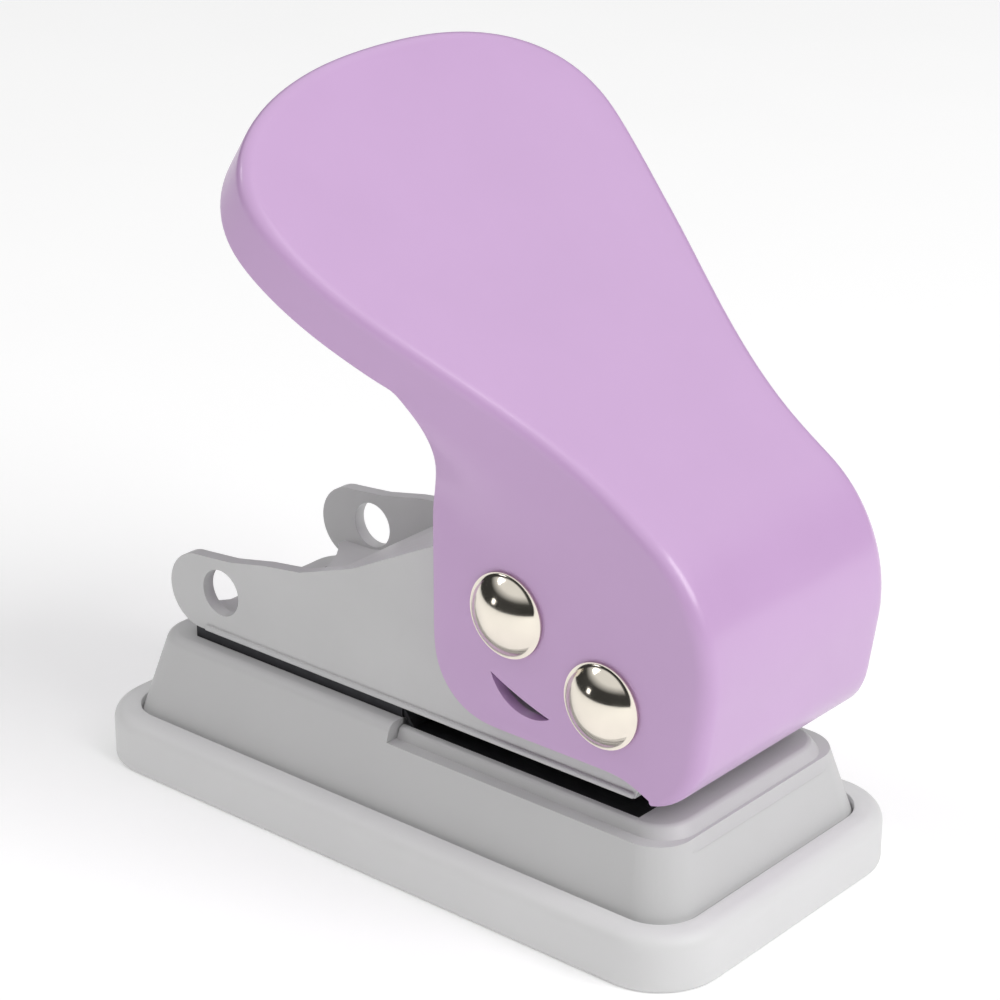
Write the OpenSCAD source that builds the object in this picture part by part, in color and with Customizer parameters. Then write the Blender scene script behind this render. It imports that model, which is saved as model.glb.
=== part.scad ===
// Single-hole desk punch: a plastic base with a pull-off chip tray, a folded steel
// frame with two holed ears, and a flared sheet-metal lever that drives one punch pin.
// +X points to the pivot end, where paper goes in; -X to the ears; +Z is up.

/* [Base] */
// Length of the chip tray, the longest part of the base
base_l = 66; // [62:1:90]
// Width of the chip tray
base_w = 33; // [30:1:48]
// Corner radius of the chip tray
base_r = 6; // [4:0.5:9]
// Height of the chip tray's rim
tray_h = 4.9; // [4:0.1:7]
// Width of the tray's ledge around the housing
ledge = 2.4; // [1.6:0.1:4]
// Height of the deck that carries the frame
deck_h = 12; // [11:0.5:18]
// Slope of the housing's sides, measured inwards from foot to deck
draft = 2; // [0.5:0.1:3]
// Wall of the moulded housing
house_wall = 1.6; // [1:0.1:2.4]
// Floor and wall of the chip tray
tray_wall = 1.2; // [0.8:0.1:1.6]

/* [Paper slot] */
// Diameter of the punched hole
hole_d = 6; // [4:0.5:7]
// Distance from the back end of the base to the punch axis
setback = 20.9; // [18:0.1:26]
// Distance from the punch axis to the paper stop
margin = 12.4; // [10:0.1:16]
// Height of the paper slot
slot_h = 1.6; // [1:0.1:2.4]
// Thickness of the die plate
die_t = 1; // [0.8:0.1:1.6]
// Thickness of the guide plate above the slot
guide_t = 1.2; // [1:0.1:2]

/* [Frame] */
// Width over the frame's side walls
frame_w = 20.7; // [19:0.1:23]
// Sheet thickness of the frame
sheet = 1.2; // [1:0.1:1.5]
// Diameter of the holes in the ears
ear_hole_d = 4.3; // [3:0.1:4.5]
// Radius of the rounded end of an ear
ear_r = 3.5; // [3.4:0.1:4.5]
// Height of the ear holes above the bottom of the frame
ear_hole_h = 4.1; // [4:0.1:4.6]
// Distance from the front end of the base to the ear holes
ear_inset = 11.5; // [10:0.1:14]

/* [Lever] */
// Sheet thickness of the lever
lever_t = 1; // [0.8:0.1:1.2]
// Gap between the lever's walls and the frame's walls
side_gap = 0.75; // [0.5:0.05:1.2]
// Width of the paddle at its widest
paddle_w = 43.8; // [34:0.2:52]
// Length of the lever's top from the pivot to the end of the paddle
lever_l = 53.2; // [46:0.1:64]
// Angle of the lever's top above the horizontal at rest
slope = 33.6; // [32:0.1:36]
// Radius of the upward bend of the paddle
bend_r = 60; // [45:1:200]
// Angle through which the lever is pressed
press_angle = 22; // [16:0.5:22]
// Depth of the skirt along the paddle's sides
skirt = 4.4; // [3.6:0.1:6]

/* [Pins] */
// Height of the pivot above the bottom of the frame
pivot_h = 8.25; // [7.5:0.05:9]
// Distance from the punch axis to the pivot
pivot_x_off = 10.2; // [9:0.1:12]
// Distance from the pivot to the drive pin
arm = 10.8; // [10:0.1:12]
// Angle of the drive pin above the pivot at rest
arm_rise = 26.4; // [20:0.2:28]
// Diameter of the pivot pin
pivot_d = 4; // [3:0.1:4.5]
// Diameter of the drive pin
drive_d = 3; // [2.4:0.1:3.4]
// Diameter of the domed heads
head_d = 7.3; // [6:0.1:7.8]
// Height of the domed heads
head_h = 1.9; // [1.2:0.1:2.4]

/* [Spring] */
// Wire diameter of the return spring
wire_d = 0.65; // [0.5:0.05:0.7]
// Turns of the return spring
turns = 4.5; // [3:0.5:4.5]

/* [Hidden] */
$fn = 64;

over = 1;              // how far a cutter runs past the face it cuts
lap = 0.1;             // overlap that joins the folded parts of one sheet
run = 0.05;            // radial clearance of a running fit
seat = 0.02;           // face clearance between pieces that slide on each other
tray_gap = 0.15;       // clearance of the tray around the housing
edge_chamfer = 1.2;    // height of the chamfer along the top of the housing
skin = 0.01;           // thickness of the slices that a hull joins

// Heights: the low deck lies round the raised seat that the die plate is let into
frame_z = deck_h + die_t;
low_deck = deck_h - slot_h;
seat_z = frame_z - slot_h;
die_z = seat_z - die_t;
guide_top = frame_z + guide_t;
tray_floor = tray_wall;
house_foot = tray_floor + 0.4;
house_base = tray_h - 0.6;

// Places along the length
punch_x = base_l / 2 - setback;
stop_x = punch_x - margin;
pivot_x = punch_x + pivot_x_off;
pivot_z = frame_z + pivot_h;
ear_x = -base_l / 2 + ear_inset;
drive_x = pivot_x - arm * cos(arm_rise);
drive_z = pivot_z + arm * sin(arm_rise);

// Widths
wall_y = frame_w / 2;
inner_y = wall_y - sheet;
lever_in = wall_y + side_gap;
lever_out = lever_in + lever_t;

// Housing
house_l = base_l - 2 * ledge - 2 * tray_gap;
house_w = base_w - 2 * ledge - 2 * tray_gap;
house_r = base_r - ledge;
deck_t = 1.6;
boss_h = 1.2;
boss_wall = 0.8;
chip_hole_r = hole_d / 2 + 0.9;

// Punch and spring
drive_gap = 0.1;       // between the drive sleeve and the top of the punch at rest
tip_gap = 0.2;         // from the underside of the guide plate up to the punch's tip at rest
punch_r = hole_d / 2;
sleeve_r = drive_d / 2 + 1.1;
punch_top = drive_z - sleeve_r - drive_gap;
punch_tip = frame_z + tip_gap;
ring_t = 0.5;
ring_z = punch_top - 1.1;
ring_w = 1.6;
groove_r = punch_r - 0.6;
cap_t = 0.4;
seat_t = 0.3;
bush_r = punch_r + 0.9;
bush_h = 2.2;
coil_r = bush_r + 0.2 + wire_d / 2;
spring_z0 = guide_top + seat_t;
spring_z1 = ring_z - cap_t;

// Rivets and screws
rivet_r = 1.1;
rivet_head_r = 1.9;
rivet_head_h = 0.7;
rivet_y = inner_y - 3;
rivet_x = [ear_x + 6, stop_x - 5.5];
flange_w = 5.2;
flange_x = [ear_x + 3, stop_x - 2.5];
screw_r = 1.1;
screw_head_r = 2.1;
screw_head_h = 1.2;
recess_l = 2.4;
recess_w = 0.5;
recess_h = 0.7;
screw_x = [(rivet_x[0] + rivet_x[1]) / 2, pivot_x - 0.6];
guide_x0 = stop_x - 0.7;
guide_x1 = pivot_x + 2;
die_l0 = ear_x - 3.2;
die_l1 = guide_x1 + 0.3;
die_half_w = wall_y - 0.15;
seat_x1 = base_l / 2 - 4.6;
seat_half_w = wall_y + 0.35;
tab_x = [stop_x + 5, pivot_x - 3];
tab_l = 4;

// Lever, measured from the pivot: lever_n along the normal of its top, u up its slope
lever_n = 14.75;
rear_x = 10.1;
rear_r = 13;
front_x = -17.4;
front_step = 2.4;
front_h = 13.4;
front_r = 6;
foot_z = -5.6;
foot_r = 5.7;
lip_r = 5.7;
lip_c = [3.6, -1.75];
flare_u = 7.2;
flare_l = 36;
bend_u = 30.8;
cap_l = 11.7;
cap_power = 2.6;
flare_depth = 7.5;

// A point given along the slope and along the normal of the lever's top
function tilted(u, n) = [-u * cos(slope) + n * sin(slope), u * sin(slope) + n * cos(slope)];
function arc(c, r, a0, a1, steps = 10) =
    [for (i = [0:steps]) let (a = a0 + (a1 - a0) * i / steps) c + r * [cos(a), sin(a)]];
// Height of an arc's centre that keeps its rim on the line at height n along the normal
function centre_z(x, n) = (n - x * sin(slope)) / cos(slope);
// Angle through which the paddle has bent at the length u, and the length that u covers in plan
function bend_at(u) = max(u - bend_u, 0) / bend_r * 180 / PI;
function flat(u) = min(u, bend_u) + bend_r * sin(bend_at(u));
function smooth(t) = let (c = min(max(t, 0), 1)) c * c * (3 - 2 * c);

module side_sheet(y0, t) {
    translate([0, y0 + t, 0]) rotate([90, 0, 0]) linear_extrude(t) children();
}
module across(width) {
    rotate([90, 0, 0]) linear_extrude(width, center = true) children();
}
module crosswise(x, z, r, length) {
    translate([x, 0, z]) rotate([90, 0, 0]) cylinder(r = r, h = length, center = true);
}
module rounded_slab(l, w, r, h) {
    linear_extrude(h) rounded_plan(l, w, r);
}
module rounded_plan(l, w, r) {
    square([l - 2 * r, w], center = true);
    square([l, w - 2 * r], center = true);
    for (sx = [-1, 1], sy = [-1, 1])
        translate([sx * (l / 2 - r), sy * (w / 2 - r)]) circle(r);
}
module ring(r_out, r_in, h) {
    difference() {
        cylinder(r = r_out, h = h);
        translate([0, 0, -over]) cylinder(r = r_in, h = h + 2 * over);
    }
}

// ---- Base ----------------------------------------------------------------
module housing_slice(z, inset) {
    translate([0, 0, z])
        rounded_slab(house_l - 2 * inset, house_w - 2 * inset, house_r - inset / 4, skin, $fn = 32);
}
// Tapered outside of the housing, chamfered along its top; inset moves every face inwards
module housing_outside(inset = 0) {
    hull() {
        housing_slice(house_base, inset);
        housing_slice(deck_h - edge_chamfer - inset, inset + draft - edge_chamfer * 0.35);
        housing_slice(deck_h - inset - skin, inset + draft + edge_chamfer * 0.35);
    }
}
// Raised light seat around the die plate, with sides that slope down to the low deck
module die_seat() {
    slope_w = 0.9;
    x0 = stop_x - 3;
    seat_l = seat_x1 - x0;
    hull() for (level = [[low_deck - skin, slope_w], [seat_z - skin, 0]])
        translate([x0 + seat_l / 2, 0, level[0]])
            rounded_slab(seat_l + 2 * level[1], 2 * (seat_half_w + level[1]), 3 + level[1], skin, $fn = 32);
}
module base_housing() {
    color([0.75, 0.75, 0.75]) difference() {
        union() {
            housing_outside();
            translate([0, 0, house_foot])
                rounded_slab(house_l, house_w, house_r, house_base - house_foot + skin);
        }
        difference() {
            union() {
                housing_outside(house_wall);
                translate([0, 0, house_foot - over])
                    rounded_slab(house_l - 2 * house_wall, house_w - 2 * house_wall,
                                 house_r - house_wall / 4, house_base - house_foot + over + 2 * skin);
            }
            translate([stop_x - deck_t, -base_w, low_deck - deck_t]) cube([base_l, 2 * base_w, deck_h]);
            for (x = screw_x) translate([x, 0, low_deck - deck_t - boss_h - screw_head_h - 1])
                cylinder(r = screw_head_r + boss_wall, h = deck_h);
        }
        difference() {
            translate([stop_x, -base_w, low_deck]) cube([base_l, 2 * base_w, deck_h]);
            die_seat();
        }
        translate([stop_x, -die_half_w - run, die_z])
            cube([die_l1 + run - stop_x, 2 * (die_half_w + run), deck_h]);
        translate([punch_x, 0, 0]) cylinder(r = chip_hole_r, h = deck_h + over);
        for (x = screw_x) {
            translate([x, 0, 0]) cylinder(r = screw_r + 0.15, h = deck_h + over);
            translate([x, 0, 0]) cylinder(r = screw_head_r + 0.2, h = low_deck - deck_t - boss_h);
        }
    }
}
module chip_tray() {
    round_over = 0.9;
    color([0.82, 0.82, 0.82]) difference() {
        union() {
            rounded_slab(base_l, base_w, base_r, tray_h - round_over);
            hull() {
                translate([0, 0, tray_h - round_over - skin])
                    rounded_slab(base_l, base_w, base_r, skin, $fn = 32);
                translate([0, 0, tray_h - skin])
                    rounded_slab(base_l - 2 * round_over, base_w - 2 * round_over,
                                 base_r - round_over, skin, $fn = 32);
            }
        }
        translate([0, 0, tray_floor])
            rounded_slab(house_l + 2 * tray_gap, house_w + 2 * tray_gap, house_r + tray_gap, tray_h);
    }
}

// ---- Plates ----------------------------------------------------------------
module die_plate() {
    ramp = 1.2;
    fold = 0.3;
    color([0.2, 0.2, 0.21]) difference() {
        union() {
            across(frame_w) polygon([
                [die_l0, deck_h], [stop_x, deck_h], [stop_x, deck_h + die_t], [die_l0, deck_h + die_t]]);
            across(2 * die_half_w) polygon([
                [stop_x - lap, deck_h], [stop_x + fold, deck_h], [stop_x + fold + ramp, die_z],
                [die_l1, die_z], [die_l1, seat_z], [stop_x + ramp, seat_z], [stop_x, deck_h + die_t],
                [stop_x - lap, deck_h + die_t]]);
        }
        translate([punch_x, 0, 0]) cylinder(r = punch_r + run, h = deck_h * 2);
        for (x = screw_x) translate([x, 0, 0]) cylinder(r = screw_r, h = deck_h * 2);
        for (x = rivet_x, s = [-1, 1])
            translate([x, s * rivet_y, 0]) cylinder(r = rivet_r, h = deck_h * 2);
    }
}
module guide_plate() {
    color([0.78, 0.78, 0.8]) difference() {
        translate([0, 0, frame_z]) linear_extrude(guide_t) {
            translate([guide_x0, -inner_y]) square([guide_x1 - guide_x0, 2 * inner_y]);
            for (x = tab_x) translate([x, -wall_y]) square([tab_l, 2 * wall_y]);
        }
        translate([punch_x, 0, 0]) cylinder(r = bush_r, h = deck_h * 2);
    }
}
module guide_bush() {
    color([0.72, 0.6, 0.35]) translate([punch_x, 0, frame_z])
        ring(bush_r, punch_r + run, guide_t + bush_h);
}

// ---- Frame ----------------------------------------------------------------
// The wall's top line above the bottom of the frame, from the ear to the round over the pivot
frame_top = [
    [ear_x - 2.7, 2 * ear_r], [ear_x + 1.3, ear_r + 3.9], [stop_x - 15.7, ear_r + 4.8],
    [stop_x - 11.5, ear_r + 5.4], [stop_x - 5.5, ear_r + 7.5], [pivot_x - 22.6, ear_r + 10.3],
    [pivot_x - 18, ear_r + 12.7], [pivot_x - 14, ear_r + 14.2], [pivot_x - 8.5, ear_r + 14.9]];
frame_round = 6.8;
web_cut_r = 11.5;

module wall_plan() {
    difference() {
        union() {
            translate([frame_top[0][0], frame_z + ear_r]) circle(ear_r);
            polygon(concat(
                [[frame_top[0][0], frame_z]],
                [for (p = frame_top) [p[0], frame_z + p[1]]],
                arc([pivot_x, pivot_z], frame_round, 90, -30),
                [[pivot_x + 2.9, frame_z + 2], [guide_x1, frame_z]]));
        }
        translate([ear_x, frame_z + ear_hole_h]) circle(ear_hole_d / 2);
        translate([pivot_x, pivot_z]) circle(pivot_d / 2 + run);
        arc_slot();
        for (x = tab_x) translate([x, frame_z - over]) square([tab_l, guide_t + over]);
    }
}
// Clearance slot for the drive pin, curved about the pivot; its ends stop the lever
module arc_slot() {
    slot_r = drive_d / 2 + 0.25;
    a0 = 180 - arm_rise - 0.8;
    a1 = 180 - arm_rise + press_angle + 0.8;
    polygon(concat(
        arc([pivot_x, pivot_z], arm + slot_r, a0, a1, 16),
        arc([pivot_x, pivot_z], arm - slot_r, a1, a0, 16)));
    for (a = [a0, a1])
        translate([pivot_x + arm * cos(a), pivot_z + arm * sin(a)]) circle(slot_r);
}
// Sheet across the walls: flat below the ear holes, then scooped up to lie flush with the walls
module web_plan() {
    low = ear_hole_h - ear_hole_d / 2 - 0.25;
    top = [[ear_x - 3.5, low - 0.1], [ear_x, low], [ear_x + 1.9, low + 0.4], [ear_x + 3.7, low + 1.7],
           [ear_x + 6.4, low + 3.5], [stop_x - 13, low + 4.9], [stop_x - 10.2, low + 6.7],
           [stop_x - 7.6, low + 8.1], [stop_x - 5.5, ear_r + 7.5], [pivot_x - 22.6, ear_r + 10.3],
           [pivot_x - 18, ear_r + 12.7]];
    polygon(concat(
        [for (p = top) [p[0], frame_z + p[1]]],
        [for (i = [len(top) - 1:-1:0]) [top[i][0] + sheet * 0.4, frame_z + top[i][1] - sheet]]));
}
module frame() {
    color([0.76, 0.76, 0.76]) difference() {
        union() {
            for (y = [-wall_y, inner_y]) side_sheet(y, sheet) wall_plan();
            difference() {
                across(2 * inner_y + 2 * lap) web_plan();
                translate([ear_x - web_cut_r, 0, 0]) cylinder(r = web_cut_r, h = 2 * pivot_z);
            }
            for (s = [-1, 1])
                translate([(flange_x[0] + flange_x[1]) / 2, s * (inner_y - flange_w / 2 + lap), frame_z])
                    linear_extrude(sheet) square([flange_x[1] - flange_x[0], flange_w], center = true);
        }
        for (x = rivet_x, s = [-1, 1])
            translate([x, s * rivet_y, frame_z - over]) cylinder(r = rivet_r, h = sheet + 2 * over);
    }
}
module frame_rivets() {
    color([0.7, 0.7, 0.7]) for (x = rivet_x, s = [-1, 1]) translate([x, s * rivet_y, 0]) {
        translate([0, 0, deck_h]) cylinder(r = rivet_r, h = die_t + sheet);
        translate([0, 0, frame_z + sheet]) cylinder(r1 = rivet_head_r, r2 = rivet_r, h = rivet_head_h);
    }
}
module base_screws() {
    tops = [frame_z + 0.4, seat_z];
    head_top = low_deck - deck_t - boss_h;
    color([0.8, 0.8, 0.82]) for (i = [0, 1]) translate([screw_x[i], 0, 0]) {
        translate([0, 0, head_top]) cylinder(r = screw_r, h = tops[i] - head_top);
        difference() {
            translate([0, 0, head_top - screw_head_h]) cylinder(r = screw_head_r, h = screw_head_h);
            for (a = [0, 90]) rotate(a)
                translate([-recess_l / 2, -recess_w / 2, head_top - screw_head_h - over])
                    cube([recess_l, recess_w, over + recess_h]);
        }
    }
}

// ---- Punch and spring ------------------------------------------------------
module punch_pin() {
    point = 0.5;
    color([0.82, 0.82, 0.84]) translate([punch_x, 0, 0]) difference() {
        translate([0, 0, punch_tip]) cylinder(r = punch_r, h = punch_top - punch_tip);
        translate([0, 0, ring_z]) ring(punch_r + over, groove_r, ring_t);
        translate([0, 0, punch_tip - 0.01]) cylinder(r1 = punch_r - 0.5, r2 = 0, h = point);
    }
}
module retaining_ring() {
    color([0.3, 0.3, 0.32]) translate([punch_x, 0, ring_z]) difference() {
        ring(punch_r + ring_w, groove_r, ring_t);
        translate([0, -groove_r * 0.75, -over]) cube([punch_r * 2, groove_r * 1.5, 3 * over]);
    }
}
module spring_cap() {
    color([0.8, 0.8, 0.82]) translate([punch_x, 0, ring_z - cap_t])
        ring(coil_r + wire_d / 2 + 0.2, punch_r, cap_t);
}
module spring_seat() {
    color([0.8, 0.8, 0.82]) translate([punch_x, 0, guide_top])
        ring(coil_r + wire_d / 2 + 0.2, bush_r, seat_t);
}
// Round wire swept along a helix
module return_spring() {
    sides = 8;
    per_turn = 20;
    rings = ceil(turns * per_turn);
    rise = spring_z1 - spring_z0 - wire_d;
    points = [for (i = [0:rings], j = [0:sides - 1])
        let (a = 360 * turns * i / rings, b = 360 * j / sides, r = coil_r + wire_d / 2 * cos(b))
        [r * cos(a), r * sin(a), spring_z0 + wire_d / 2 + rise * i / rings + wire_d / 2 * sin(b)]];
    skin = [for (i = [0:rings - 1], j = [0:sides - 1])
        let (k = (j + 1) % sides)
        [i * sides + j, i * sides + k, (i + 1) * sides + k, (i + 1) * sides + j]];
    ends = [[for (j = [sides - 1:-1:0]) j], [for (j = [0:sides - 1]) rings * sides + j]];
    color([0.6, 0.6, 0.62]) translate([punch_x, 0, 0])
        polyhedron(points = points, faces = concat(skin, ends), convexity = 8);
}

// ---- Pins ----------------------------------------------------------------
// Domed head standing on the lever's wall, pointing out along +Z
module domed_head() {
    ball_r = (head_h * head_h + head_d * head_d / 4) / (2 * head_h);
    intersection() {
        cylinder(d = head_d, h = head_h + over);
        translate([0, 0, head_h - ball_r]) sphere(ball_r);
    }
}
module headed_pin(x, z, r) {
    translate([x, 0, z]) rotate([90, 0, 0]) {
        translate([0, 0, -lever_out - 0.6]) cylinder(r = r, h = 2 * lever_out + 0.6);
        translate([0, 0, lever_out]) domed_head();
    }
}
module end_cap(x, z, r) {
    translate([x, lever_out, z]) rotate([-90, 0, 0]) difference() {
        domed_head();
        translate([0, 0, -over]) cylinder(r = r, h = over + 0.6);
    }
}
module pivot_pin() {
    color([0.85, 0.82, 0.75]) headed_pin(pivot_x, pivot_z, pivot_d / 2);
}
module pivot_cap() {
    color([0.85, 0.82, 0.75]) end_cap(pivot_x, pivot_z, pivot_d / 2);
}
module drive_pin() {
    color([0.85, 0.82, 0.75]) headed_pin(drive_x, drive_z, drive_d / 2);
}
module drive_cap() {
    color([0.85, 0.82, 0.75]) end_cap(drive_x, drive_z, drive_d / 2);
}
module wall_washers(x, z, r_in, r_out) {
    for (s = [-1, 1]) translate([x, s * (wall_y + seat), z]) rotate([-90 * s, 0, 0])
        ring(r_out, r_in, side_gap - seat);
}
module pivot_washers() {
    color([0.93, 0.93, 0.9]) wall_washers(pivot_x, pivot_z, pivot_d / 2, pivot_d / 2 + 2.2);
}
module drive_washers() {
    color([0.93, 0.93, 0.9]) wall_washers(drive_x, drive_z, drive_d / 2, drive_d / 2 + 1.8);
}
module drive_sleeve() {
    color([0.6, 0.6, 0.62]) difference() {
        crosswise(drive_x, drive_z, sleeve_r, 2 * inner_y - 0.4);
        crosswise(drive_x, drive_z, drive_d / 2, 2 * inner_y + over);
    }
}

// ---- Lever ----------------------------------------------------------------
// Point of the top, or of a line at depth d below it, at the length u
function top_point(u, d) =
    let (b = bend_at(u))
    tilted(min(u, bend_u) + (bend_r + d) * sin(b), lever_n + bend_r - (bend_r + d) * cos(b));
// Side outline; inset moves the top and the back inwards and opens the bottom for the hollow inside
module lever_side(inset) {
    rear_c = [rear_x - rear_r, centre_z(rear_x - rear_r, lever_n - rear_r)];
    front_c = [front_x + front_step - front_r,
               centre_z(front_x + front_step - front_r, lever_n - skirt - front_r)];
    bent = [for (i = [0:6]) bend_u + (lever_l - bend_u) * i / 6];
    rear = concat(
        arc(lip_c, lip_r - inset, -78, 10),
        arc(rear_c, rear_r - inset, 0, 90 - slope, 14),
        [for (u = bent) top_point(u, inset)]);
    outline = inset > 0
        ? concat([lip_c + [lip_r * cos(78), -3 * lip_r]], rear,
                 [top_point(lever_l + 6, inset), tilted(lever_l, -lever_n)])
        : concat(rear,
                 [for (i = [6:-1:0]) top_point(bent[i], skirt)],
                 arc(front_c, front_r, 90 - slope, 0),
                 [[front_x, front_h]],
                 arc([front_x + foot_r, foot_z + foot_r], foot_r, 180, 270),
                 [[2, foot_z], [3.8, foot_z - 0.9]]);
    translate([pivot_x, pivot_z]) polygon(outline);
}
function half_width(u, inset) =
    let (flared = lever_out + (paddle_w / 2 - lever_out) * smooth((u - flare_u) / flare_l) - inset,
         c = min(max((u - (lever_l - cap_l)) / (cap_l - inset), 0), 1),
         rounded = (paddle_w / 2 - inset) * pow(1 - pow(c, cap_power), 1 / cap_power))
    min(flared, rounded);
// Outline of the top, flared to the paddle and closed by its rounded end
module lever_plan(inset) {
    body = [for (u = [-20:2:lever_l - cap_l]) u];
    end = [for (a = [0:5:90]) lever_l - cap_l + (cap_l - inset) * sin(a)];
    us = concat(body, end);
    polygon(concat(
        [for (u = us) [-flat(u), half_width(u, inset)]],
        [for (i = [len(us) - 1:-1:0]) [-flat(us[i]), -half_width(us[i], inset)]]));
}
module lever_volume(inset) {
    intersection() {
        across(2 * paddle_w) lever_side(inset);
        union() {
            across(2 * (lever_out - inset))
                translate([pivot_x, pivot_z]) square(4 * lever_l, center = true);
            on_slope(lever_n - flare_depth + inset, 2 * flare_depth) lever_plan(inset);
        }
        on_slope(-2 * lever_l, 4 * lever_l) lever_plan(inset);
    }
}
// A plan drawn on the lever's slope, from the height n along the normal
module on_slope(n, height) {
    translate([pivot_x, 0, pivot_z]) rotate([0, slope, 0])
        translate([0, 0, n]) linear_extrude(height) children();
}
// Crescent-shaped opening below the two heads
module crescent() {
    outer_r = 4.2;
    inner_r = 30;
    from = 198;
    to = 300;
    middle = (from + to) / 2;
    half_chord = outer_r * sin((to - from) / 2);
    inner_reach = sqrt(inner_r * inner_r - half_chord * half_chord);
    inner_c = (outer_r * cos((to - from) / 2) - inner_reach) * [cos(middle), sin(middle)];
    spread = asin(half_chord / inner_r);
    translate([pivot_x - 7.4, pivot_z + 0.6]) polygon(concat(
        arc([0, 0], outer_r, from, to, 16),
        arc(inner_c, inner_r, middle + spread, middle - spread, 8)));
}
module lever() {
    color([0.82, 0.68, 0.85]) difference() {
        lever_volume(0);
        lever_volume(lever_t);
        crosswise(pivot_x, pivot_z, pivot_d / 2, 3 * lever_out);
        crosswise(drive_x, drive_z, drive_d / 2, 3 * lever_out);
        across(3 * lever_out) crescent();
    }
}

base_housing();
chip_tray();
die_plate();
guide_plate();
guide_bush();
frame();
frame_rivets();
base_screws();
spring_seat();
return_spring();
spring_cap();
retaining_ring();
punch_pin();
drive_sleeve();
drive_pin();
drive_cap();
drive_washers();
pivot_pin();
pivot_cap();
pivot_washers();
lever();
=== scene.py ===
import math

import bmesh
import bpy
from mathutils import Matrix, Vector


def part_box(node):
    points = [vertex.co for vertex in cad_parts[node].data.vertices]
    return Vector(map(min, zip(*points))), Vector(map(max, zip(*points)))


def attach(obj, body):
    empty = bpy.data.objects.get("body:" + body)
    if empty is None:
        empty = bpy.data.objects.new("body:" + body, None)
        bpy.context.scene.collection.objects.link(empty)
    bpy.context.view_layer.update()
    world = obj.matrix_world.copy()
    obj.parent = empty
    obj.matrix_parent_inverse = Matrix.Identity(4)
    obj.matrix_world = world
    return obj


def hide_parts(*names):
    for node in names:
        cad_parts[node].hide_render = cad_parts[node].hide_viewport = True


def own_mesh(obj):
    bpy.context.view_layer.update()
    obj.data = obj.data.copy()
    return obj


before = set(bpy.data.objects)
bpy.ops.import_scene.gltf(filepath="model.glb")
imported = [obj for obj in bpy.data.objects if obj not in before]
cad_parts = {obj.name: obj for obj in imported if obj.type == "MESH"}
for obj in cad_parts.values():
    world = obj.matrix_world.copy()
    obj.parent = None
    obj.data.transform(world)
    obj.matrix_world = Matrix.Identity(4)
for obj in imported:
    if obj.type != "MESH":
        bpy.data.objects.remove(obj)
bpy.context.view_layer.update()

MM = 0.001

# ---- Main places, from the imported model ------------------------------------

tray_low, tray_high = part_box("chip_tray")
house_low, house_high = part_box("base_housing")
wall_low, wall_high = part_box("frame")
punch_low, punch_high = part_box("punch_pin")
coil_low, coil_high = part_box("return_spring")
pivot_low, pivot_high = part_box("pivot_cap")
drive_low, drive_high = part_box("drive_cap")

base_l = (tray_high.x - tray_low.x) / MM
base_w = (tray_high.y - tray_low.y) / MM
tray_h = tray_high.z / MM
deck_h = house_high.z / MM
frame_z = wall_low.z / MM
wall_y = wall_high.y / MM
punch_x = (punch_low.x + punch_high.x) / 2 / MM
pivot = Vector(((pivot_low.x + pivot_high.x) / 2, 0, (pivot_low.z + pivot_high.z) / 2)) / MM
drive = Vector(((drive_low.x + drive_high.x) / 2, 0, (drive_low.z + drive_high.z) / 2)) / MM
lever_out = pivot_low.y / MM
PAPER_MARGIN = 12.4               # from the paper stop to the hole's axis
SLOT_H = 1.6                      # height of the paper slot
SEAT_BACK = 4.6                   # from the end of the die's seat to the back of the base
stop_x = punch_x - PAPER_MARGIN
low_deck = deck_h - SLOT_H
seat_z = frame_z - SLOT_H         # top of the raised seat and of the die plate let into it
seat_x1 = base_l / 2 - SEAT_BACK
die_x1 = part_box("die_plate")[1].x / MM


# ---- Bench tools -----------------------------------------------------------

def object_mode():
    if bpy.context.object and bpy.context.object.mode != "OBJECT":
        bpy.ops.object.mode_set(mode="OBJECT")


def only(piece):
    """Only this piece is selected and active."""
    object_mode()
    bpy.ops.object.select_all(action="DESELECT")
    piece.select_set(True)
    bpy.context.view_layer.objects.active = piece
    return piece


def settle(piece):
    """The piece's place, turn and size go into its mesh."""
    only(piece)
    bpy.ops.object.transform_apply(location=True, rotation=True, scale=True)
    return piece


def named(name):
    piece = bpy.context.object
    piece.name = name
    piece.data.name = name
    return piece


def modify(piece, kind, **settings):
    """Adds one modifier and applies it."""
    only(piece)
    modifier = piece.modifiers.new(kind.lower(), kind)
    for key, value in settings.items():
        setattr(modifier, key, value)
    bpy.ops.object.modifier_apply(modifier=modifier.name)
    return piece


def carve(piece, cutter, operation="DIFFERENCE"):
    """Cuts with the cutter, or joins or intersects with it, and throws the cutter away."""
    modify(piece, "BOOLEAN", operation=operation, object=cutter, solver="EXACT")
    bpy.data.objects.remove(cutter)
    return piece


def select(piece, edges=None, faces=None):
    """In edit mode, selects the edges or faces for which the test holds."""
    only(piece)
    bpy.ops.object.mode_set(mode="EDIT")
    bpy.ops.mesh.select_mode(type="EDGE" if edges else "FACE")
    bpy.ops.mesh.select_all(action="DESELECT")
    bm = bmesh.from_edit_mesh(piece.data)
    bm.normal_update()
    for item in bm.edges if edges else bm.faces:
        item.select_set(bool((edges or faces)(item)))
    bm.select_flush_mode()
    bmesh.update_edit_mesh(piece.data)


def smooth(piece, angle=35):
    only(piece)
    bpy.ops.object.shade_smooth_by_angle(angle=math.radians(angle))
    return piece


def tidy_mesh(piece, distance=0.002):
    """Merges doubles and turns the faces outwards."""
    only(piece)
    bpy.ops.object.mode_set(mode="EDIT")
    bpy.ops.mesh.select_all(action="SELECT")
    bpy.ops.mesh.remove_doubles(threshold=distance * MM)
    bpy.ops.mesh.normals_make_consistent(inside=False)
    bpy.ops.object.mode_set(mode="OBJECT")
    return piece


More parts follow.
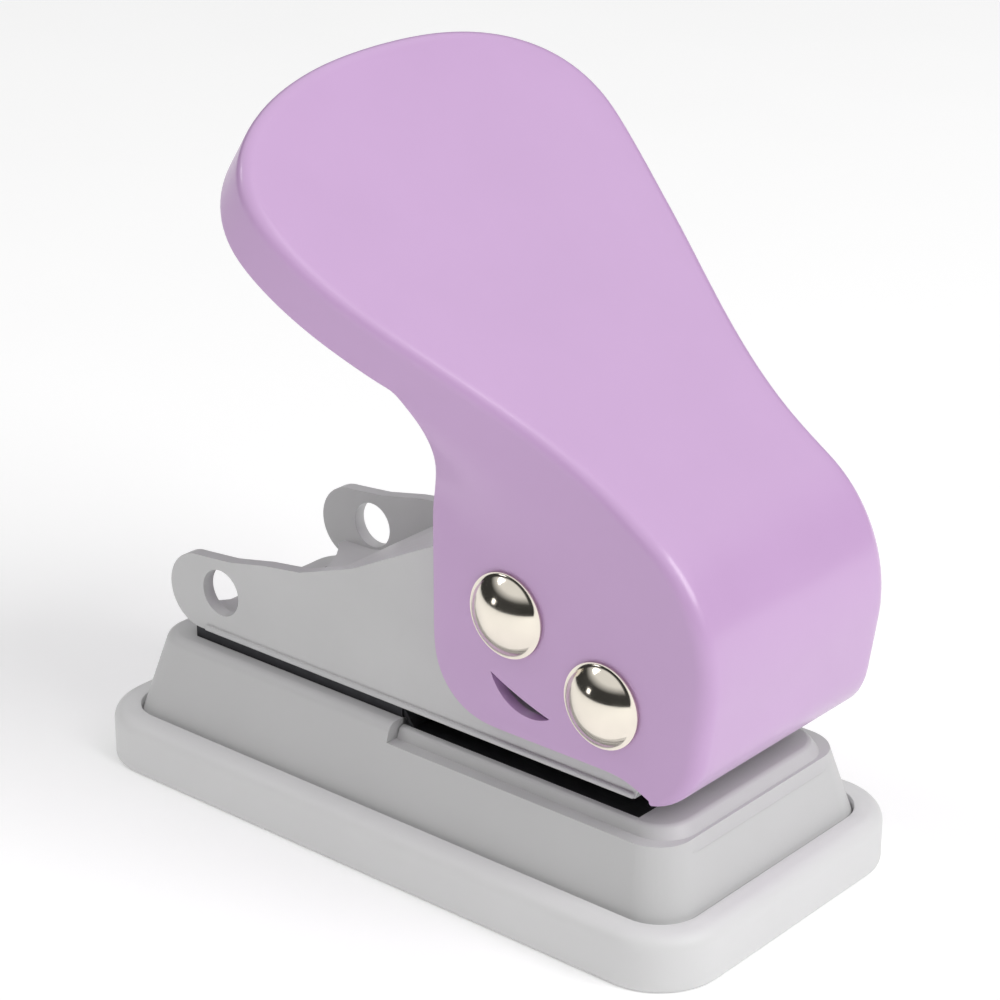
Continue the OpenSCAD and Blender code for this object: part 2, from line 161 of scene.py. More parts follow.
def upright(edge):
    a, b = (v.co for v in edge.verts)
    return abs(a.z - b.z) > 0.7 * (a - b).length and (a - b).length > 0.0005


def block(name, size, centre):
    """Block of that size in mm, centred there, with its size in its mesh."""
    object_mode()
    bpy.ops.mesh.primitive_cube_add(size=1, location=Vector(centre) * MM)
    piece = named(name)
    piece.scale = Vector(size) * MM
    return settle(piece)


def rounded_block(name, size, centre, corner, segments=12):
    piece = block(name, size, centre)
    select(piece, edges=upright)
    bpy.ops.mesh.bevel(offset=corner * MM, segments=segments, affect="EDGES")
    object_mode()
    return piece


def rod(name, radius, length, centre, axis="Z", sides=48):
    object_mode()
    turn = {"X": (0, math.pi / 2, 0), "Y": (math.pi / 2, 0, 0), "Z": (0, 0, 0)}[axis]
    bpy.ops.mesh.primitive_cylinder_add(
        vertices=sides, radius=radius * MM, depth=length * MM,
        location=Vector(centre) * MM, rotation=turn)
    return settle(named(name))


def prism(name, outline, y0, y1):
    """Plate with that outline of (x, z) points in mm, from y0 to y1."""
    mesh = bpy.data.meshes.new(name)
    piece = bpy.data.objects.new(name, mesh)
    bpy.context.scene.collection.objects.link(piece)
    bm = bmesh.new()
    bm.faces.new([bm.verts.new((x * MM, y0 * MM, z * MM)) for x, z in outline])
    bm.to_mesh(mesh)
    bm.free()
    only(piece)
    bpy.ops.object.mode_set(mode="EDIT")
    bpy.ops.mesh.select_all(action="SELECT")
    bpy.ops.mesh.extrude_region_move(TRANSFORM_OT_translate={"value": (0, (y1 - y0) * MM, 0)})
    bpy.ops.mesh.select_all(action="SELECT")
    bpy.ops.mesh.normals_make_consistent(inside=False)
    object_mode()
    return piece


def arc(centre, radius, start, end, steps):
    """Points of an arc, angles in degrees."""
    angles = [math.radians(start + (end - start) * i / steps) for i in range(steps + 1)]
    return [(centre[0] + radius * math.cos(a), centre[1] + radius * math.sin(a)) for a in angles]


def turned(name, profile, sides=64):
    """Solid turned about the Z axis from a profile of (radius, height) points in mm."""
    mesh = bpy.data.meshes.new(name)
    piece = bpy.data.objects.new(name, mesh)
    bpy.context.scene.collection.objects.link(piece)
    bm = bmesh.new()
    points = [bm.verts.new((r * MM, 0, z * MM)) for r, z in profile]
    for a, b in zip(points, points[1:]):
        bm.edges.new((a, b))
    bm.to_mesh(mesh)
    bm.free()
    only(piece)
    bpy.ops.object.mode_set(mode="EDIT")
    bpy.ops.mesh.select_all(action="SELECT")
    bpy.ops.mesh.spin(steps=sides, angle=2 * math.pi, center=(0, 0, 0), axis=(0, 0, 1))
    object_mode()
    return tidy_mesh(piece)


def place(piece, at, turn=(0, 0, 0)):
    """Moves a piece made at the origin to its place in mm."""
    piece.rotation_euler = turn
    piece.location = Vector(at) * MM
    return settle(piece)


# ---- Finishes --------------------------------------------------------------

def finish(name, colour, roughness, metallic=0.0, **shader):
    """A finish with its main numbers set on the shader itself."""
    material = bpy.data.materials.new(name)
    material.use_nodes = True
    bsdf = material.node_tree.nodes["Principled BSDF"]
    bsdf.inputs["Base Color"].default_value = (*colour, 1)
    bsdf.inputs["Roughness"].default_value = roughness
    bsdf.inputs["Metallic"].default_value = metallic
    for key, value in shader.items():
        bsdf.inputs[key.replace("_", " ")].default_value = value
    material.diffuse_color = (*colour, 1)
    return material


def add(material, kind, **values):
    node = material.node_tree.nodes.new(kind)
    for key, value in values.items():
        if hasattr(node, key):
            setattr(node, key, value)
        else:
            node.inputs[key.replace("_", " ")].default_value = value
    return node


def link(material, source, target):
    material.node_tree.links.new(source, target)


def grain(material, scale, detail=4.0, stretch=(1, 1, 1)):
    """Noise that stays with the piece, stretched along its own axes."""
    place_on_piece = add(material, "ShaderNodeTexCoord")
    mapping = add(material, "ShaderNodeMapping")
    mapping.inputs["Scale"].default_value = stretch
    noise = add(material, "ShaderNodeTexNoise", Scale=scale, Detail=detail)
    link(material, place_on_piece.outputs["Object"], mapping.inputs["Vector"])
    link(material, mapping.outputs["Vector"], noise.inputs["Vector"])
    return noise.outputs["Fac"]


def spread(material, source, low, high):
    """Turns noise into numbers from low to high."""
    node = add(material, "ShaderNodeMapRange")
    node.inputs["From Min"].default_value = 0.3
    node.inputs["From Max"].default_value = 0.7
    node.inputs["To Min"].default_value = low
    node.inputs["To Max"].default_value = high
    link(material, source, node.inputs["Value"])
    return node.outputs["Result"]


def vary_roughness(material, source, low, high):
    bsdf = material.node_tree.nodes["Principled BSDF"]
    link(material, spread(material, source, low, high), bsdf.inputs["Roughness"])


def vary_colour(material, source, dark, light):
    bsdf = material.node_tree.nodes["Principled BSDF"]
    ramp = add(material, "ShaderNodeValToRGB")
    ramp.color_ramp.elements[0].position = 0.3
    ramp.color_ramp.elements[0].color = (*dark, 1)
    ramp.color_ramp.elements[1].position = 0.7
    ramp.color_ramp.elements[1].color = (*light, 1)
    link(material, source, ramp.inputs["Fac"])
    link(material, ramp.outputs["Color"], bsdf.inputs["Base Color"])


def rough_up(material, source, height_mm, strength=1.0):
    """Small relief in the surface."""
    bsdf = material.node_tree.nodes["Principled BSDF"]
    bump = add(material, "ShaderNodeBump")
    bump.inputs["Strength"].default_value = strength
    bump.inputs["Distance"].default_value = height_mm * MM
    link(material, source, bump.inputs["Height"])
    link(material, bump.outputs["Normal"], bsdf.inputs["Normal"])


def tinted(colour, factor):
    return tuple(min(c * factor, 1) for c in colour)


def lilac_enamel():
    colour = (0.600, 0.385, 0.655)
    material = finish("lilac enamel", colour, 0.3, Coat_Weight=0.35, Coat_Roughness=0.12)
    cloud = grain(material, 90, 3)
    vary_colour(material, cloud, tinted(colour, 0.985), tinted(colour, 1.015))
    vary_roughness(material, grain(material, 400, 3), 0.3, 0.38)
    rough_up(material, grain(material, 900, 2), 0.012, 0.35)
    return material


def grey_enamel():
    colour = (0.62, 0.62, 0.62)
    material = finish("light grey frame enamel", colour, 0.42, Coat_Weight=0.15, Coat_Roughness=0.25)
    vary_colour(material, grain(material, 120, 3), tinted(colour, 0.98), tinted(colour, 1.02))
    vary_roughness(material, grain(material, 700, 3), 0.38, 0.5)
    rough_up(material, grain(material, 1600, 2), 0.012, 0.4)
    return material


def moulded_plastic(name, colour, relief):
    material = finish(name, colour, 0.45, Specular_IOR_Level=0.45)
    vary_colour(material, grain(material, 70, 4), tinted(colour, 0.985), tinted(colour, 1.015))
    vary_roughness(material, grain(material, 500, 3), 0.42, 0.52)
    rough_up(material, grain(material, 3200, 2), relief, 0.5)
    return material


def metal(name, colour, low, high, stretch, relief=0.006, scale=900):
    """Ground or turned metal with fine tool marks along one way."""
    material = finish(name, colour, (low + high) / 2, 1.0)
    marks = grain(material, scale, 4, stretch)
    vary_colour(material, grain(material, 260, 3), tinted(colour, 0.94), tinted(colour, 1.04))
    vary_roughness(material, marks, low, high)
    rough_up(material, marks, relief, 0.4)
    return material


lilac = lilac_enamel()
frame_grey = grey_enamel()
housing_grey = moulded_plastic("light grey moulded base", (0.60, 0.60, 0.60), 0.01)
tray_grey = moulded_plastic("pale grey moulded tray", (0.74, 0.74, 0.74), 0.014)
# Near-black steel. On the retaining ring this is real blackening. On the die plate it is painted shade, so
# the paper slot under the frame reads black.
blackened_and_slot_shade = metal("blackened steel", (0.055, 0.055, 0.06), 0.38, 0.55, (1, 12, 1))
ground = metal("ground steel", (0.56, 0.56, 0.58), 0.22, 0.36, (14, 1, 1))
sprung = metal("drawn spring wire", (0.48, 0.48, 0.5), 0.22, 0.34, (1, 1, 8))
nickel = metal("polished nickel", (0.86, 0.80, 0.70), 0.08, 0.16, (1, 1, 1), 0.002, 500)
bronze = metal("turned bronze", (0.60, 0.44, 0.21), 0.25, 0.38, (1, 1, 10))
nylon = moulded_plastic("natural nylon", (0.82, 0.82, 0.77), 0.008)


def coat(piece, material):
    """Puts one finish all over a piece or a node."""
    piece.data.materials.clear()
    piece.data.materials.append(material)
    return piece


def fit(piece, body, slot, material, *nodes):
    """A finished piece takes its finish, its body and the CAD nodes that it stands for."""
    coat(piece, material)
    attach(piece, body)
    if nodes:
        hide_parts(*nodes)
    return piece


# ---- Camera, light and floor -----------------------------------------------

def set_up_camera():
    target = Vector((1.62, 0, 28.92)) * MM
    turn, lift, away = math.radians(40.31), math.radians(23.01), 250.18 * MM
    back = Vector((math.sin(turn) * math.cos(lift), -math.cos(turn) * math.cos(lift), math.sin(lift)))
    data = bpy.data.cameras.new("camera")
    data.lens = 108
    data.sensor_width = 36
    data.clip_start = 0.01
    data.clip_end = 20
    camera = bpy.data.objects.new("camera", data)
    camera.location = target + back * away
    camera.rotation_euler = (-back).to_track_quat("-Z", "Y").to_euler()
    bpy.context.scene.collection.objects.link(camera)
    bpy.context.scene.camera = camera


def soft_box(name, at, aim, size, power, colour=(1, 1, 1), mirrored=True):
    data = bpy.data.lights.new(name, "AREA")
    data.shape = "RECTANGLE"
    data.size, data.size_y = size
    data.energy = power
    data.color = colour
    lamp = bpy.data.objects.new(name, data)
    lamp.location = at
    lamp.visible_glossy = mirrored
    lamp.rotation_euler = (Vector(aim) - Vector(at)).to_track_quat("-Z", "Y").to_euler()
    bpy.context.scene.collection.objects.link(lamp)


def set_up_light():
    """Bright above, dimmer low down, with one large soft box behind the pivot end."""
    world = bpy.data.worlds.new("studio")
    bpy.context.scene.world = world
    world.use_nodes = True
    background = world.node_tree.nodes["Background"]
    background.inputs["Strength"].default_value = 1.0
    way = add(world, "ShaderNodeTexCoord")
    parts = add(world, "ShaderNodeSeparateXYZ")
    ramp = add(world, "ShaderNodeValToRGB")
    dim, bright = ramp.color_ramp.elements
    dim.position, dim.color = 0.4, (0.04, 0.04, 0.04, 1)
    bright.position, bright.color = 0.62, (0.8, 0.8, 0.8, 1)
    link(world, way.outputs["Generated"], parts.inputs["Vector"])
    link(world, parts.outputs["Z"], ramp.inputs["Fac"])
    link(world, ramp.outputs["Color"], background.inputs["Color"])
    middle = (0, 0, 0.03)
    soft_box("key", (0.6, 0.06, 0.56), middle, (0.45, 0.45), 3.3)
    soft_box("fill", (-0.15, -0.85, 0.1), middle, (0.9, 0.16), 0.3, (1, 0.97, 0.93), mirrored=False)
    soft_box("glint", (-0.48, -0.63, 0.17), middle, (0.11, 0.11), 0.1)
    soft_box("edge light", (-0.48, -0.31, 0.56), middle, (0.16, 0.16), 0.4)


def lay_floor():
    object_mode()
    bpy.ops.mesh.primitive_plane_add(size=1, location=(0, 0, 0))
    floor = named("floor")
    floor.scale = (60, 60, 1)
    settle(floor)
    paper = finish("pale paper floor", (0.95, 0.95, 0.95), 0.8,
                   Emission_Color=(1, 1, 1, 1), Emission_Strength=0.15)
    vary_roughness(paper, grain(paper, 30, 3), 0.75, 0.85)
    coat(floor, paper)


# ---- Lever -----------------------------------------------------------------
# Places in mm from the pivot: u runs up the slope of the lever's top, n along its normal.

SLOPE = math.radians(33.6)
TOP_N = 14.75                      # height of the top along n
REAR_C, REAR_R = (-2.9, 4.03), 13  # round over the back
LIP_C, LIP_R = (3.6, -1.75), 5.7   # round at the bottom of the back
TANGENT = math.radians(-8.6)       # normal of the straight stretch between the two rounds
LIP_START = math.radians(-78)
BEND_U, BEND_R = 30.8, 60          # where the paddle bends upwards, and how tightly
LEVER_L, CAP_L, CAP_POWER = 53.2, 11.9, 2.3
PADDLE_HALF = 21.9
FLARE_U, FLARE_L = 7.2, 36
SKIRT = 4.4
SHEET = 1.0

CRESCENT_AT, CRESCENT_R = (-7.4, 0.6), 4.2   # middle of its outer arc, from the pivot
CRESCENT_INNER_R = 30
CRESCENT_START, CRESCENT_END = 198, 300      # degrees
PIVOT_R, DRIVE_R = 2.0, 1.5

LIP_LEN = LIP_R * (TANGENT - LIP_START)
TANGENT_START = Vector((LIP_C[0] + LIP_R * math.cos(TANGENT), LIP_C[1] + LIP_R * math.sin(TANGENT)))
TANGENT_END = Vector((REAR_C[0] + REAR_R * math.cos(TANGENT), REAR_C[1] + REAR_R * math.sin(TANGENT)))
TANGENT_LEN = (TANGENT_END - TANGENT_START).length
REAR_LEN = REAR_R * (math.pi / 2 - SLOPE - TANGENT)
BACK_LEN = LIP_LEN + TANGENT_LEN + REAR_LEN
TOP_START = -REAR_C[0] * math.cos(SLOPE) + REAR_C[1] * math.sin(SLOPE)


def tilted(u, n):
    return Vector((-u * math.cos(SLOPE) + n * math.sin(SLOPE), u * math.sin(SLOPE) + n * math.cos(SLOPE)))


def untilted(p):
    x, z = p
    return (-x * math.cos(SLOPE) + z * math.sin(SLOPE), x * math.sin(SLOPE) + z * math.cos(SLOPE))


def flat_of(u):
    """Length in plan of the length u measured along the bent top."""
    return u if u < BEND_U else BEND_U + BEND_R * math.sin((u - BEND_U) / BEND_R)


def length_of(flat):
    return flat if flat < BEND_U else BEND_U + BEND_R * math.asin(min((flat - BEND_U) / BEND_R, 1))


def rise(flat, depth=0.0):
    """Height along n of the top, or of the line at that depth under it."""
    past = max(flat - BEND_U, 0)
    return TOP_N + BEND_R - math.sqrt((BEND_R + depth) ** 2 - past ** 2)


def ease(t):
    t = min(max(t, 0), 1)
    return t * t * (3 - 2 * t)


def half_width(u):
    flared = lever_out + (PADDLE_HALF - lever_out) * ease((u - FLARE_U) / FLARE_L)
    past = min(max((u - (LEVER_L - CAP_L)) / CAP_L, 0), 1)
    return min(flared, PADDLE_HALF * (1 - past ** CAP_POWER) ** (1 / CAP_POWER))


def skin_point(g, depth):
    """(x, z) of the point at the length g from the bottom of the back, at that depth in the sheet."""
    if g <= LIP_LEN + TANGENT_LEN + REAR_LEN:
        if g <= LIP_LEN:
            angle, centre, radius = LIP_START + g / LIP_R, Vector(LIP_C), LIP_R
        elif g <= LIP_LEN + TANGENT_LEN:
            along = (g - LIP_LEN) / TANGENT_LEN
            spot = TANGENT_START.lerp(TANGENT_END, along)
            return spot - Vector((math.cos(TANGENT), math.sin(TANGENT))) * depth
        else:
            angle = TANGENT + (g - LIP_LEN - TANGENT_LEN) / REAR_R
            centre, radius = Vector(REAR_C), REAR_R
        return centre + Vector((math.cos(angle), math.sin(angle))) * (radius - depth)
    flat = TOP_START + g - BACK_LEN
    return tilted(flat, rise(flat) - depth)


def resampled(points, count):
    """The same line with count + 1 evenly spaced points."""
    lengths = [0.0]
    for a, b in zip(points, points[1:]):
        lengths.append(lengths[-1] + math.dist(a, b))
    result, k = [], 0
    for i in range(count + 1):
        want = lengths[-1] * i / count
        while k < len(points) - 2 and lengths[k + 1] < want:
            k += 1
        t = (want - lengths[k]) / max(lengths[k + 1] - lengths[k], 1e-9)
        result.append(tuple(a + (b - a) * min(t, 1) for a, b in zip(points[k], points[k + 1])))
    return result


def rounded_line(corners):
    """A line through (x, z, radius) corners, each turned by an arc of that radius."""
    points = []
    for i, (x, z, radius) in enumerate(corners):
        here = Vector((x, z))
        if radius == 0:
            points.append(tuple(here))
            continue
        before = (Vector(corners[i - 1][:2]) - here).normalized()
        after = (Vector(corners[i + 1][:2]) - here).normalized()
        half = before.angle(after) / 2
        reach = radius / math.tan(half)
        centre = here + (before + after).normalized() * (radius / math.sin(half))
        start, end = here + before * reach - centre, here + after * reach - centre
        sweep = start.angle_signed(end)
        for k in range(9):
            turned_by = start.copy()
            turned_by.rotate(Matrix.Rotation(-sweep * k / 8, 2))
            points.append(tuple(centre + turned_by))
    return points


def evened(points, passes):
    """The same line with its small corners averaged out; its ends stay."""
    for _ in range(passes):
        trios = zip(points, points[1:], points[2:])
        inner = [tuple((a + 2 * b + c) / 4 for a, b, c in zip(*trio)) for trio in trios]
        points = [points[0]] + inner + [points[-1]]
    return points


SKIRT_START = 27  # from this length on, the skirt hangs straight down from the top's edge


def lower_edge():
    """Bottom edge of a side wall, from the back to where the skirt starts."""
    start = skin_point(0, 0.55)
    front = tilted(23.0, TOP_N - SKIRT)
    end = tilted(SKIRT_START, TOP_N - SKIRT)
    return rounded_line([
        (start.x, start.y, 0), (2.2, -5.6, 3), (-17.4, -5.6, 5.7), (-17.4, 13.4, 6),
        (front.x, front.y, 5), (end.x, end.y, 0)])


def fillet_radius(g):
    """Edge radius between the sheet's outer face and its side walls."""
    return 0.45 + 1.05 * ease(g / LIP_LEN) - 0.35 * ease((g - LIP_LEN - TANGENT_LEN) / REAR_LEN)


def make_lever():
    rows, top_cols, turn_cols, wall_cols = 150, 20, 7, 14
    # half of the outline of the unrolled top: the length g from the back's bottom, and the half width
    tip = BACK_LEN + flat_of(LEVER_L) - TOP_START
    dense = [(BACK_LEN * i / 60, lever_out) for i in range(60)]
    straight_end = LEVER_L - CAP_L
    us = [TOP_START + (straight_end - TOP_START) * i / 80 for i in range(80)]
    us += [straight_end + CAP_L * math.sin(math.radians(a)) for a in range(0, 91)]
    dense += [(BACK_LEN + flat_of(u) - TOP_START, half_width(u)) for u in us]
    dense[-1] = (tip, 0.0)
    edge = evened(resampled(dense, rows), 8)
    skirt_g = BACK_LEN + SKIRT_START - TOP_START
    low = resampled(lower_edge(), 400)

    def foot(g):
        """The bottom of the wall under the point at the length g."""
        if g < skirt_g:
            return low[round(400 * g / skirt_g)]
        flat = TOP_START + g - BACK_LEN
        return tuple(tilted(flat, rise(flat, SKIRT)))

    feet = evened([foot(g) for g, y in edge], 6)

    def inward(i):
        if i == 0:
            return Vector((0, -1))
        if i == rows:
            return Vector((-1, 0))
        a, b = Vector(edge[i - 1]), Vector(edge[i + 1])
        along = (b - a).normalized()
        return Vector((along.y, -along.x))

    def half_row(i):
        """(x, y, z) points of one row, from the wall's bottom edge to the top's edge."""
        g, y = edge[i]
        radius = fillet_radius(g)
        way = inward(i)
        points = []
        wall_top = skin_point(g, radius)
        for k in range(wall_cols):
            spot = Vector(feet[i]).lerp(wall_top, k / wall_cols)
            u, n = untilted(spot)
            if g < skirt_g:
                blend = ease((n - 1.0) / 9.5)
                out = lever_out + (half_width(length_of(u)) - lever_out) * blend
                out = out + (y - out) * ease((g - skirt_g + 3) / 3)
            else:
                out = y
            points.append((spot.x, out, spot.y))
        for k in range(turn_cols + 1):
            angle = math.pi / 2 * k / turn_cols
            inset = radius * (1 - math.cos(angle))
            depth = radius * (1 - math.sin(angle))
            spot_g, spot_y = g + way.x * inset, y + way.y * inset
            spot = skin_point(spot_g, depth)
            points.append((spot.x, max(spot_y, 0), spot.y))
        return points

    across = 2 * (wall_cols + turn_cols) + top_cols
    bpy.ops.mesh.primitive_grid_add(x_subdivisions=across, y_subdivisions=rows, size=1)
    lever = named("lever_shell")
    table = []
    for i in range(rows + 1):
        left = half_row(i)
        right = [(x, -y, z) for x, y, z in reversed(left)]
        start, end = Vector(left[-1]), Vector(right[0])
        middle = [tuple(start.lerp(end, k / top_cols)) for k in range(1, top_cols)]
        table.append(left + middle + right)
    for i, row in enumerate(table):
        for j, (x, y, z) in enumerate(row):
            lever.data.vertices[i * (across + 1) + j].co = Vector((x + pivot.x, y, z + pivot.z)) * MM
    tidy_mesh(lever)
    upper = max(lever.data.polygons, key=lambda f: f.center.z)
    if upper.normal.z < 0:
        lever.data.flip_normals()
    modify(lever, "SOLIDIFY", thickness=SHEET * MM, offset=-1)
    modify(lever, "BEVEL", width=0.14 * MM, segments=2, limit_method="ANGLE", angle_limit=math.radians(60))
    for spot, radius in ((pivot, PIVOT_R), (drive, DRIVE_R)):
        carve(lever, rod("bore", radius, 60, (spot.x, 0, spot.z), "Y"))
    carve(lever, crescent_cutter())
    smooth(lever, 40)
    return fit(lever, "lever", "lilac_paint", lilac, "lever")


def crescent_cutter(margin=0.0):
    """Crescent with a nearly straight upper side, that much larger all round."""
    centre = (pivot.x + CRESCENT_AT[0], pivot.z + CRESCENT_AT[1])
    outer_r, inner_r = CRESCENT_R + margin, CRESCENT_INNER_R
    start, end = CRESCENT_START - 8 * margin, CRESCENT_END + 8 * margin
    middle, half = (start + end) / 2, math.radians((end - start) / 2)
    half_chord = outer_r * math.sin(half)
    reach = outer_r * math.cos(half) - math.sqrt(inner_r ** 2 - half_chord ** 2) - margin
    inner_c = arc(centre, reach, middle, middle, 1)[0]
    spread = math.degrees(math.asin(half_chord / inner_r))
    outline = arc(centre, outer_r, start, end, 20)
    outline += arc(inner_c, inner_r, middle + spread, middle - spread, 10)[1:-1]
    return prism("crescent", outline, -30, 30)


# ---- Base ------------------------------------------------------------------

def taper_top(piece, height, inset):
    """Draws the top in by that much on every side."""
    low, high = height - 0.01, height + 0.01
    select(piece, faces=lambda f: low * MM < f.calc_center_median().z < high * MM and f.normal.z > 0.9)
    bpy.ops.mesh.select_mode(type="VERT")
    size = piece.dimensions / MM
    factor = (1 - 2 * inset / size.x, 1 - 2 * inset / size.y, 1)
    bpy.ops.transform.resize(value=factor, center_override=(0, 0, height * MM))
    object_mode()


def round_rim(piece, height, radius, segments=6):
    """Rounds the edge loop around the flat face at that height."""
    def on_rim(edge):
        flat = all(abs(v.co.z - height * MM) < 0.01 * MM for v in edge.verts)
        return flat and any(abs(f.normal.z) < 0.9 for f in edge.link_faces)
    select(piece, edges=on_rim)
    bpy.ops.mesh.bevel(offset=radius * MM, segments=segments, affect="EDGES", clamp_overlap=False)
    object_mode()


def make_housing():
    """Upper base: sloped sides, a step down to the paper slot and a raised seat round the die."""
    corner, wall, shoulder_drop, slope_inset = 3.6, 1.6, 0.6, 2.0
    size = (house_high - house_low) / MM
    foot = house_low.z / MM
    shoulder = tray_h - shoulder_drop
    body = rounded_block("base_shell", (size.x, size.y, deck_h - shoulder),
                         (0, 0, (deck_h + shoulder) / 2), corner)
    taper_top(body, deck_h, slope_inset)
    round_rim(body, deck_h, 0.8)
    skirt = rounded_block("skirt", (size.x, size.y, shoulder - foot + 0.02),
                          (0, 0, (shoulder + foot) / 2 + 0.01), corner)
    carve(body, skirt, "UNION")
    tidy_mesh(body)
    roof = low_deck - wall
    hollow = rounded_block("hollow", (size.x - 2 * wall, size.y - 2 * wall, roof - foot + 2),
                           (0, 0, (roof + foot - 2) / 2), corner - 1.2)
    taper_top(hollow, roof, 1.2)
    carve(body, hollow)
    carve(body, block("step", (80, 80, 10), (stop_x + 40, 0, low_deck + 5)))
    seat_end = seat_x1 + 0.9
    seat = rounded_block("die_seat", (seat_end - stop_x + 3, 2 * (wall_y + 1.25), seat_z - low_deck + 1),
                         ((seat_end + stop_x - 3) / 2, 0, (seat_z + low_deck - 1) / 2), 3.4)
    taper_top(seat, seat_z, 0.8)
    round_rim(seat, seat_z, 0.3, 4)
    carve(seat, block("front", (20, 80, 20), (stop_x - 9.9, 0, low_deck)))
    carve(body, seat, "UNION")
    carve(body, block("die_pocket", (die_x1 + 0.05 - stop_x + 0.2, 2 * (wall_y - 0.1), 8),
                      ((die_x1 + 0.05 + stop_x - 0.2) / 2, 0, seat_z - 1 + 4)))
    chip_hole_r, screw_hole_r = 3.9, 1.25
    carve(body, rod("chip_hole", chip_hole_r, 40, (punch_x, 0, 10)))
    for screw_x in (-10.65, pivot.x - 0.6):
        carve(body, rod("screw_hole", screw_hole_r, 40, (screw_x, 0, 10)))
    modify(body, "BEVEL", width=0.22 * MM, segments=3, limit_method="ANGLE", angle_limit=math.radians(50))
    smooth(body, 35)
    modify(body, "WEIGHTED_NORMAL", keep_sharp=True, weight=100)
    return fit(body, "stand", "base_plastic", housing_grey, "base_housing")


def make_tray():
    """Wide rounded rim with a floor, which the base drops into."""
    corner, floor_t, gap = 6, 1.2, 0.15
    body = rounded_block("tray_shell", (base_l, base_w, tray_h), (0, 0, tray_h / 2), corner, 16)
    round_rim(body, tray_h, 1.3, 8)
    round_rim(body, 0, 0.4, 3)
    size = (house_high - house_low) / MM
    pocket_size = (size.x + 2 * gap, size.y + 2 * gap, 10)
    pocket = rounded_block("pocket", pocket_size, (0, 0, floor_t + 5), 3.6 + gap)
    carve(body, pocket)
    modify(body, "BEVEL", width=0.2 * MM, segments=2, limit_method="ANGLE", angle_limit=math.radians(60))
    smooth(body, 35)
    return fit(body, "tray", "tray_plastic", tray_grey, "chip_tray")


# ---- Pins and spring -------------------------------------------------------

def head_profile(radius, height):
    """Low dome with a small rounded foot, from its foot to its middle."""
    ball = (height ** 2 + radius ** 2) / (2 * height)
    reach = math.asin(radius / ball)
    dome = [(ball * math.sin(reach * t), height - ball + ball * math.cos(reach * t))
            for t in [1 - i / 20 for i in range(2, 21)]]
    return [(radius - 0.12, 0), (radius, 0.14), (radius - 0.02, 0.3)] + [
        (min(r, radius - 0.05), max(z, 0.34 + 0.002 * i)) for i, (r, z) in enumerate(dome)]


def make_pin(name, spot, shank_r, node, cap_node):
    """Headed pin across the lever, with the push-on cap at its far end."""
    low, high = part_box(cap_node)
    head_r, head_h = (high.x - low.x) / 2 / MM, (high.y - low.y) / MM
    top = head_profile(head_r, head_h)
    shank = [(0, -2 * lever_out - 0.6), (shank_r - 0.25, -2 * lever_out - 0.6),
             (shank_r, -2 * lever_out - 0.35), (shank_r, 0)]
    pin = turned(name, shank + top)
    place(pin, (spot.x, -lever_out, spot.z), (math.pi / 2, 0, 0))
    smooth(pin, 50)
    fit(pin, "lever", "plated", nickel, node)
    cap = turned(name + "_cap", [(0, 0.6), (shank_r, 0.6), (shank_r, 0)] + top)
    place(cap, (spot.x, lever_out, spot.z), (-math.pi / 2, 0, 0))
    smooth(cap, 50)
    fit(cap, "lever", "plated", nickel, cap_node)


def make_spring():
    """Round wire coiled on a helix, with its end turns closed up."""
    radius = (coil_high.x - coil_low.x) / 2 / MM
    wire_r, stroke = 0.325, 4.1
    turns, per_turn, sides = 6, 40, 12
    bottom, top = coil_low.z / MM + wire_r, coil_high.z / MM - wire_r
    bpy.ops.mesh.primitive_grid_add(x_subdivisions=sides, y_subdivisions=turns * per_turn, size=1)
    spring = named("spring_coil")
    for i in range(turns * per_turn + 1):
        t = i / per_turn
        closed = 2 * wire_r
        if t < 1:
            z = bottom + closed * t * t / 2
        elif t > turns - 1:
            z = top - closed * (turns - t) ** 2 / 2
        else:
            free = (t - 1) / (turns - 2)
            z = bottom + closed / 2 + (top - bottom - closed) * free
        angle = 2 * math.pi * t
        for j in range(sides + 1):
            around = 2 * math.pi * j / sides
            r = radius - wire_r + wire_r * math.cos(around)
            spring.data.vertices[i * (sides + 1) + j].co = Vector((
                punch_x + r * math.cos(angle), r * math.sin(angle), z + wire_r * math.sin(around))) * MM
    tidy_mesh(spring)
    only(spring)
    bpy.ops.object.mode_set(mode="EDIT")
    bpy.ops.mesh.select_all(action="DESELECT")
    bpy.ops.mesh.select_mode(type="EDGE")
    bpy.ops.mesh.select_non_manifold()
    bpy.ops.mesh.fill_holes(sides=0)
    bpy.ops.mesh.select_all(action="SELECT")
    bpy.ops.mesh.normals_make_consistent(inside=False)
    object_mode()
    smooth(spring, 60)
    fit(spring, "stand", "steel", sprung, "return_spring")
    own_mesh(spring)


# ---- Frame -----------------------------------------------------------------

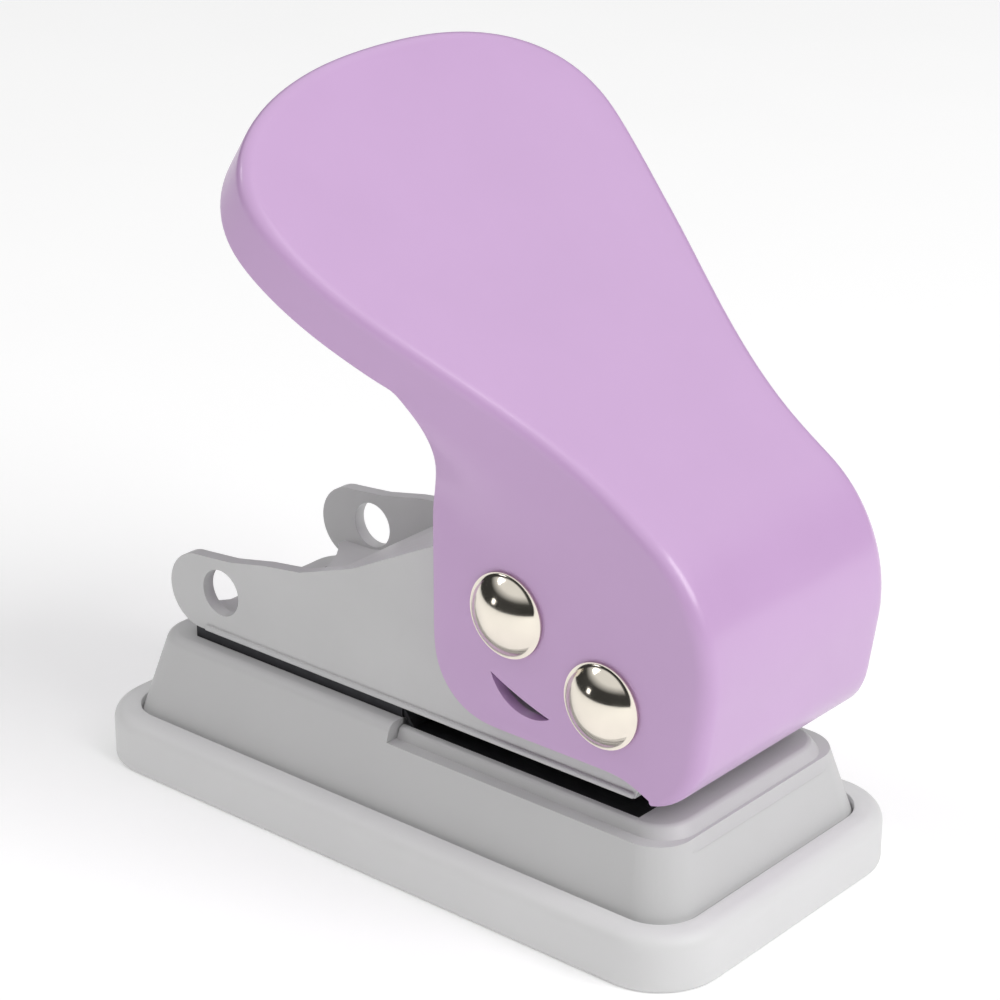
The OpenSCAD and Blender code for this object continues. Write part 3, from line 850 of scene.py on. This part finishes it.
def copy_of(node, name):
    """A merged copy of a CAD node, with its flat faces whole again."""
    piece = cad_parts[node].copy()
    piece.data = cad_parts[node].data.copy()
    piece.parent = None
    for key in list(piece.keys()):
        del piece[key]
    piece.name = piece.data.name = name
    bpy.context.scene.collection.objects.link(piece)
    only(piece)
    bpy.ops.object.mode_set(mode="EDIT")
    bpy.ops.mesh.select_all(action="SELECT")
    bpy.ops.mesh.remove_doubles(threshold=0.001 * MM)
    bpy.ops.mesh.dissolve_limited(angle_limit=math.radians(1))
    object_mode()
    return piece


def make_frame():
    """The folded sheet, its edges rounded, and the small bead along the foot of each wall."""
    body = copy_of("frame", "folded_frame")
    modify(body, "BEVEL", width=0.3 * MM, segments=3, limit_method="ANGLE", angle_limit=math.radians(40))
    carve(body, crescent_cutter(0.8))
    smooth(body, 40)
    modify(body, "WEIGHTED_NORMAL", keep_sharp=True, weight=100)
    fit(body, "stand", "frame_paint", frame_grey, "frame")
    back, front = die_x1 - 0.3, -23.5
    thick, height = 0.8, 0.55
    for name, side in (("near_foot_bead", -1), ("far_foot_bead", 1)):
        bead = block(name, (back - front, thick, height),
                     ((back + front) / 2, side * (wall_y - 0.1), frame_z + height / 2))
        modify(bead, "BEVEL", width=0.2 * MM, segments=3)
        smooth(bead, 40)
        fit(bead, "stand", "frame_paint", frame_grey)


# ---- Nodes that keep their shape -------------------------------------------

def coat_nodes():
    finishes = {
        # The die plate's near-black colour is painted shade for the paper slot above it.
        "die_plate": blackened_and_slot_shade, "guide_plate": frame_grey, "guide_bush": bronze,
        "frame_rivets": ground, "base_screws": ground, "spring_seat": ground, "spring_cap": ground,
        "retaining_ring": blackened_and_slot_shade, "punch_pin": ground, "drive_sleeve": ground,
        "drive_washers": nylon, "pivot_washers": nylon,
    }
    for node, material in finishes.items():
        coat(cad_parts[node], material)


object_mode()
bpy.ops.object.select_all(action="DESELECT")
bpy.context.scene.view_settings.view_transform = "Standard"
set_up_camera()
set_up_light()
lay_floor()
make_lever()
make_housing()
make_tray()
make_pin("pivot_pin_turned", pivot, PIVOT_R, "pivot_pin", "pivot_cap")
make_pin("drive_pin_turned", drive, DRIVE_R, "drive_pin", "drive_cap")
make_spring()
make_frame()
coat_nodes()
